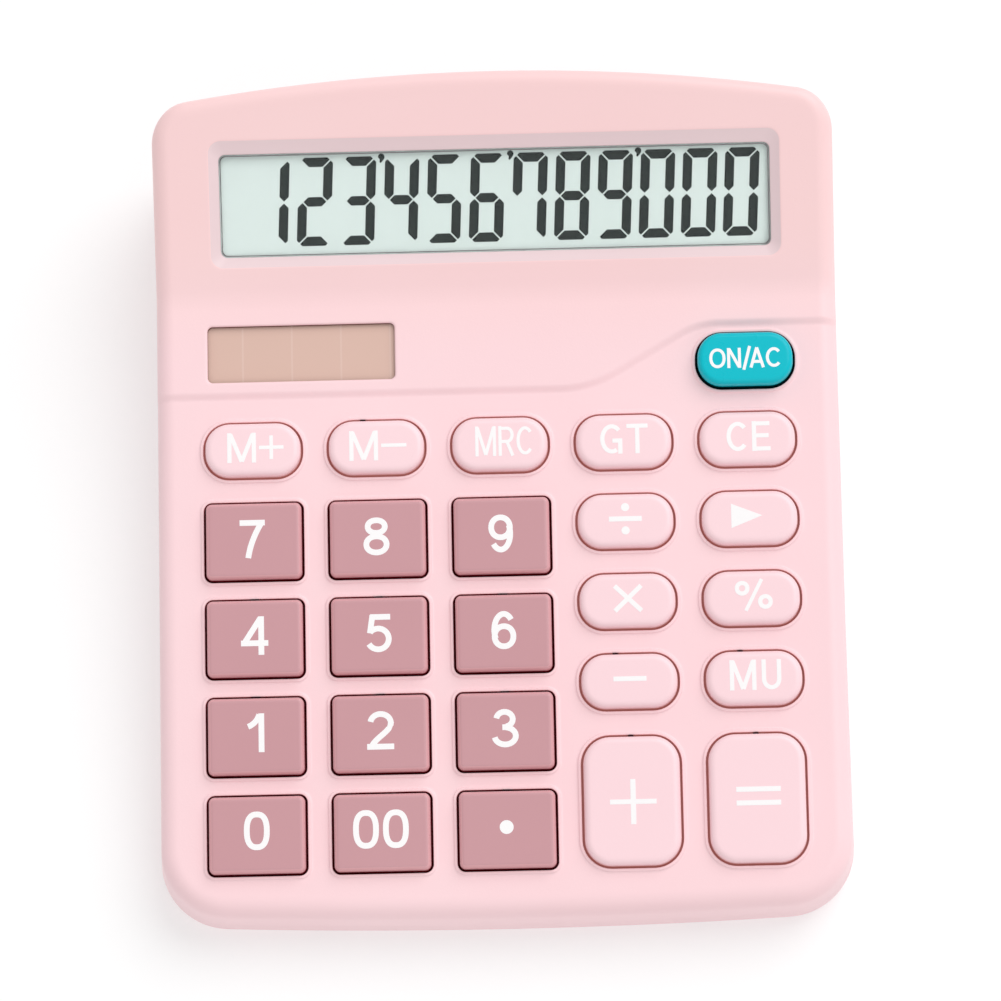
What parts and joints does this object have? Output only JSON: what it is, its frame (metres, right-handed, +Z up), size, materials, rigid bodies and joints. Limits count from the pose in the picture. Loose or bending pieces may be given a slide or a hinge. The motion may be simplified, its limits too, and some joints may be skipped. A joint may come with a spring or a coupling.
{
  "type": "desk calculator",
  "caption": "Wedge-shaped desk calculator with a sloped display face, solar cell, travelling keys over a rubber mat, and a battery bay under a sliding door.",
  "frame": {"origin": "on the table under the middle of the case's footprint", "axes": "+X to the reader's right, +Y towards the display, +Z up"},
  "size_m": [0.12, 0.146, 0.0391],
  "materials": {
    "case_plastic": "fine satin moulded plastic",
    "function_key_plastic": "satin moulded plastic",
    "number_key_plastic": "satin moulded plastic",
    "power_key_plastic": "glossy moulded plastic",
    "clear_acrylic": "clear glossy sheet",
    "lcd_glass": "matt polariser on glass",
    "reflector_foil": "matt foil",
    "white_plastic": "moulded",
    "ribbon_film": "printed film",
    "solar_glass": "amorphous cell behind glass",
    "red_insulation": "wire insulation",
    "black_insulation": "wire insulation",
    "board_laminate": "paper laminate",
    "carbon_ink": "printed carbon",
    "black_epoxy": "cast drop",
    "capacitor_sleeve": "sleeved can",
    "resistor_ceramic": "chip",
    "mat_silicone": "translucent silicone",
    "carbon_rubber": "conductive rubber",
    "screw_steel": "zinc plated",
    "spring_steel": "nickel plated",
    "battery_jacket": "plain printed sleeve",
    "foot_rubber": "matt"
  },
  "bodies": {
    "case": {"top_case": "case_plastic", "bottom_case": "case_plastic", "display_window": "clear_acrylic", "lcd_panel": "lcd_glass", "lcd_reflector": "reflector_foil", "lcd_holder": "white_plastic", "lcd_ribbon": "ribbon_film", "solar_cell": "solar_glass", "solar_wire_red": "red_insulation", "solar_wire_black": "black_insulation", "circuit_board": "board_laminate", "contact_pads": "carbon_ink", "chip_cover": "black_epoxy", "board_capacitor": "capacitor_sleeve", "board_resistors": "resistor_ceramic", "keypad_mat": "mat_silicone", "carbon_pills": "carbon_rubber", "board_screws": "screw_steel", "case_screws": "screw_steel", "aa_battery": "battery_jacket", "battery_spring": "spring_steel", "battery_contacts": "spring_steel", "battery_wire_red": "red_insulation", "battery_wire_black": "black_insulation", "foot_front_left": "foot_rubber", "foot_front_right": "foot_rubber", "foot_rear_left": "foot_rubber", "foot_rear_right": "foot_rubber"},
    "battery_door": {"battery_door": "case_plastic"},
    "key_on": {"key_on": "power_key_plastic"},
    "key_m_plus": {"key_m_plus": "function_key_plastic"},
    "key_m_minus": {"key_m_minus": "function_key_plastic"},
    "key_mrc": {"key_mrc": "function_key_plastic"},
    "key_gt": {"key_gt": "function_key_plastic"},
    "key_ce": {"key_ce": "function_key_plastic"},
    "key_divide": {"key_divide": "function_key_plastic"},
    "key_backspace": {"key_backspace": "function_key_plastic"},
    "key_multiply": {"key_multiply": "function_key_plastic"},
    "key_percent": {"key_percent": "function_key_plastic"},
    "key_minus": {"key_minus": "function_key_plastic"},
    "key_mu": {"key_mu": "function_key_plastic"},
    "key_7": {"key_7": "number_key_plastic"},
    "key_8": {"key_8": "number_key_plastic"},
    "key_9": {"key_9": "number_key_plastic"},
    "key_4": {"key_4": "number_key_plastic"},
    "key_5": {"key_5": "number_key_plastic"},
    "key_6": {"key_6": "number_key_plastic"},
    "key_1": {"key_1": "number_key_plastic"},
    "key_2": {"key_2": "number_key_plastic"},
    "key_3": {"key_3": "number_key_plastic"},
    "key_0": {"key_0": "number_key_plastic"},
    "key_00": {"key_00": "number_key_plastic"},
    "key_point": {"key_point": "number_key_plastic"},
    "key_plus": {"key_plus": "function_key_plastic"},
    "key_equals": {"key_equals": "function_key_plastic"}
  },
  "joints": [
    {"name": "key_on_press", "type": "slide", "parent": "case", "child": "key_on", "axis": [0, 0.1045, -0.9945], "range_m": [0, 0.0013], "stiffness_N_per_m": 300, "springref_m": -0.0008, "deforming": ["keypad_mat"]},
    {"name": "key_m_plus_press", "type": "slide", "parent": "case", "child": "key_m_plus", "axis": [0, 0.1045, -0.9945], "range_m": [0, 0.0013], "stiffness_N_per_m": 300, "springref_m": -0.0008, "deforming": ["keypad_mat"]},
    {"name": "key_m_minus_press", "type": "slide", "parent": "case", "child": "key_m_minus", "axis": [0, 0.1045, -0.9945], "range_m": [0, 0.0013], "stiffness_N_per_m": 300, "springref_m": -0.0008, "deforming": ["keypad_mat"]},
    {"name": "key_mrc_press", "type": "slide", "parent": "case", "child": "key_mrc", "axis": [0, 0.1045, -0.9945], "range_m": [0, 0.0013], "stiffness_N_per_m": 300, "springref_m": -0.0008, "deforming": ["keypad_mat"]},
    {"name": "key_gt_press", "type": "slide", "parent": "case", "child": "key_gt", "axis": [0, 0.1045, -0.9945], "range_m": [0, 0.0013], "stiffness_N_per_m": 300, "springref_m": -0.0008, "deforming": ["keypad_mat"]},
    {"name": "key_ce_press", "type": "slide", "parent": "case", "child": "key_ce", "axis": [0, 0.1045, -0.9945], "range_m": [0, 0.0013], "stiffness_N_per_m": 300, "springref_m": -0.0008, "deforming": ["keypad_mat"]},
    {"name": "key_divide_press", "type": "slide", "parent": "case", "child": "key_divide", "axis": [0, 0.1045, -0.9945], "range_m": [0, 0.0013], "stiffness_N_per_m": 300, "springref_m": -0.0008, "deforming": ["keypad_mat"]},
    {"name": "key_backspace_press", "type": "slide", "parent": "case", "child": "key_backspace", "axis": [0, 0.1045, -0.9945], "range_m": [0, 0.0013], "stiffness_N_per_m": 300, "springref_m": -0.0008, "deforming": ["keypad_mat"]},
    {"name": "key_multiply_press", "type": "slide", "parent": "case", "child": "key_multiply", "axis": [0, 0.1045, -0.9945], "range_m": [0, 0.0013], "stiffness_N_per_m": 300, "springref_m": -0.0008, "deforming": ["keypad_mat"]},
    {"name": "key_percent_press", "type": "slide", "parent": "case", "child": "key_percent", "axis": [0, 0.1045, -0.9945], "range_m": [0, 0.0013], "stiffness_N_per_m": 300, "springref_m": -0.0008, "deforming": ["keypad_mat"]},
    {"name": "key_minus_press", "type": "slide", "parent": "case", "child": "key_minus", "axis": [0, 0.1045, -0.9945], "range_m": [0, 0.0013], "stiffness_N_per_m": 300, "springref_m": -0.0008, "deforming": ["keypad_mat"]},
    {"name": "key_mu_press", "type": "slide", "parent": "case", "child": "key_mu", "axis": [0, 0.1045, -0.9945], "range_m": [0, 0.0013], "stiffness_N_per_m": 300, "springref_m": -0.0008, "deforming": ["keypad_mat"]},
    {"name": "key_7_press", "type": "slide", "parent": "case", "child": "key_7", "axis": [0, 0.1045, -0.9945], "range_m": [0, 0.0013], "stiffness_N_per_m": 300, "springref_m": -0.0008, "deforming": ["keypad_mat"]},
    {"name": "key_8_press", "type": "slide", "parent": "case", "child": "key_8", "axis": [0, 0.1045, -0.9945], "range_m": [0, 0.0013], "stiffness_N_per_m": 300, "springref_m": -0.0008, "deforming": ["keypad_mat"]},
    {"name": "key_9_press", "type": "slide", "parent": "case", "child": "key_9", "axis": [0, 0.1045, -0.9945], "range_m": [0, 0.0013], "stiffness_N_per_m": 300, "springref_m": -0.0008, "deforming": ["keypad_mat"]},
    {"name": "key_4_press", "type": "slide", "parent": "case", "child": "key_4", "axis": [0, 0.1045, -0.9945], "range_m": [0, 0.0013], "stiffness_N_per_m": 300, "springref_m": -0.0008, "deforming": ["keypad_mat"]},
    {"name": "key_5_press", "type": "slide", "parent": "case", "child": "key_5", "axis": [0, 0.1045, -0.9945], "range_m": [0, 0.0013], "stiffness_N_per_m": 300, "springref_m": -0.0008, "deforming": ["keypad_mat"]},
    {"name": "key_6_press", "type": "slide", "parent": "case", "child": "key_6", "axis": [0, 0.1045, -0.9945], "range_m": [0, 0.0013], "stiffness_N_per_m": 300, "springref_m": -0.0008, "deforming": ["keypad_mat"]},
    {"name": "key_1_press", "type": "slide", "parent": "case", "child": "key_1", "axis": [0, 0.1045, -0.9945], "range_m": [0, 0.0013], "stiffness_N_per_m": 300, "springref_m": -0.0008, "deforming": ["keypad_mat"]},
    {"name": "key_2_press", "type": "slide", "parent": "case", "child": "key_2", "axis": [0, 0.1045, -0.9945], "range_m": [0, 0.0013], "stiffness_N_per_m": 300, "springref_m": -0.0008, "deforming": ["keypad_mat"]},
    {"name": "key_3_press", "type": "slide", "parent": "case", "child": "key_3", "axis": [0, 0.1045, -0.9945], "range_m": [0, 0.0013], "stiffness_N_per_m": 300, "springref_m": -0.0008, "deforming": ["keypad_mat"]},
    {"name": "key_0_press", "type": "slide", "parent": "case", "child": "key_0", "axis": [0, 0.1045, -0.9945], "range_m": [0, 0.0013], "stiffness_N_per_m": 300, "springref_m": -0.0008, "deforming": ["keypad_mat"]},
    {"name": "key_00_press", "type": "slide", "parent": "case", "child": "key_00", "axis": [0, 0.1045, -0.9945], "range_m": [0, 0.0013], "stiffness_N_per_m": 300, "springref_m": -0.0008, "deforming": ["keypad_mat"]},
    {"name": "key_point_press", "type": "slide", "parent": "case", "child": "key_point", "axis": [0, 0.1045, -0.9945], "range_m": [0, 0.0013], "stiffness_N_per_m": 300, "springref_m": -0.0008, "deforming": ["keypad_mat"]},
    {"name": "key_plus_press", "type": "slide", "parent": "case", "child": "key_plus", "axis": [0, 0.1045, -0.9945], "range_m": [0, 0.0013], "stiffness_N_per_m": 300, "springref_m": -0.0008, "deforming": ["keypad_mat"]},
    {"name": "key_equals_press", "type": "slide", "parent": "case", "child": "key_equals", "axis": [0, 0.1045, -0.9945], "range_m": [0, 0.0013], "stiffness_N_per_m": 300, "springref_m": -0.0008, "deforming": ["keypad_mat"]},
    {"name": "battery_door_slide", "type": "slide", "parent": "case", "child": "battery_door", "axis": [0, 1, 0], "range_m": [0, 0.03]}
  ]
}
